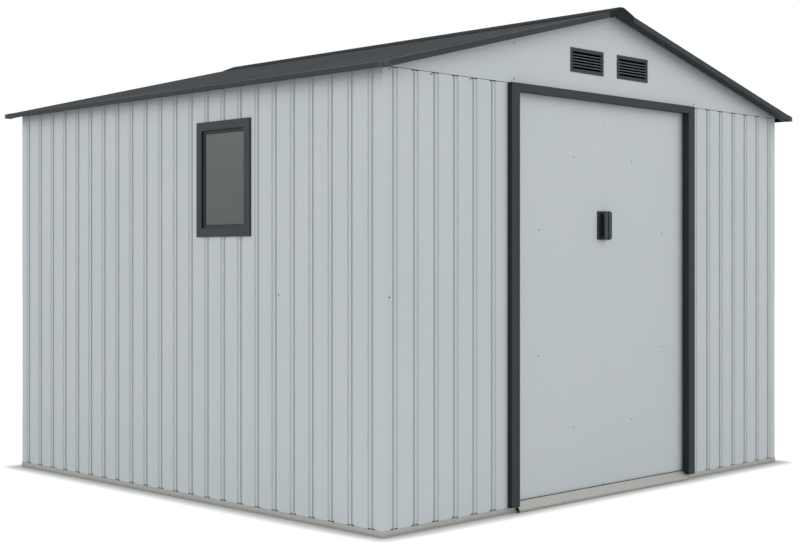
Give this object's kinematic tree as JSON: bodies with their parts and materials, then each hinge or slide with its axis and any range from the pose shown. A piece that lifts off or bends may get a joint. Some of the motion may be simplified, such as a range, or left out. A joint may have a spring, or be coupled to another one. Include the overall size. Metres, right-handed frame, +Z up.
{
  "type": "metal storage shed",
  "caption": "Free-standing storage shed of ribbed sheet steel with a low apex roof, sliding doors in the gable end, louvred vents and a side window.",
  "frame": {"origin": "on the ground at the middle of the shed's floor plan", "axes": "+X to the right along the front, the front with its doors faces -Y, +Z up"},
  "size_m": [2.736, 2.5394, 2.0018],
  "materials": {
    "wall_steel": "satin light grey paint",
    "trim_steel": "satin dark grey paint",
    "zinc_steel": "galvanised",
    "dark_plastic": "matt dark grey",
    "pane_plastic": "grey tinted clear sheet"
  },
  "bodies": {
    "root": {"left_wall_front": "wall_steel", "left_wall_window": "wall_steel", "left_wall_middle": "wall_steel", "left_wall_back": "wall_steel", "right_wall": "wall_steel", "back_wall": "wall_steel", "front_wall_left": "wall_steel", "front_wall_right": "wall_steel", "front_gable": "wall_steel", "back_gable": "wall_steel", "roof_left": "trim_steel", "roof_right": "trim_steel", "ridge_cap": "trim_steel", "verge_trim_front_left": "trim_steel", "verge_trim_front_right": "trim_steel", "verge_trim_back_left": "trim_steel", "verge_trim_back_right": "trim_steel", "eave_trim_left": "trim_steel", "eave_trim_right": "trim_steel", "door_jamb_left": "trim_steel", "door_jamb_right": "trim_steel", "door_header": "trim_steel", "base_rail_left": "zinc_steel", "base_rail_back": "zinc_steel", "base_rail_right": "zinc_steel", "base_rail_front": "zinc_steel", "base_cross_rails": "zinc_steel", "door_sill": "zinc_steel", "wall_middle_rails": "zinc_steel", "wall_top_rails": "zinc_steel", "corner_brackets": "zinc_steel", "ridge_beam": "zinc_steel", "roof_purlins": "zinc_steel", "door_track": "zinc_steel", "front_vents": "dark_plastic", "back_vents": "dark_plastic", "window_frame": "dark_plastic", "roof_corner_caps": "dark_plastic", "window_pane": "pane_plastic"},
    "door_left": {"door_leaf_left": "wall_steel", "door_braces_left": "zinc_steel", "door_hangers_left": "zinc_steel", "door_handle_left": "dark_plastic"},
    "door_right": {"door_leaf_right": "wall_steel", "door_braces_right": "zinc_steel", "door_hangers_right": "zinc_steel", "door_handle_right": "dark_plastic"}
  },
  "joints": [
    {"name": "left_door_slide", "type": "slide", "parent": "root", "child": "door_left", "axis": [-1, 0, 0], "range_m": [0, 0.52]},
    {"name": "right_door_slide", "type": "slide", "parent": "root", "child": "door_right", "axis": [1, 0, 0], "range_m": [0, 0.52]}
  ]
}
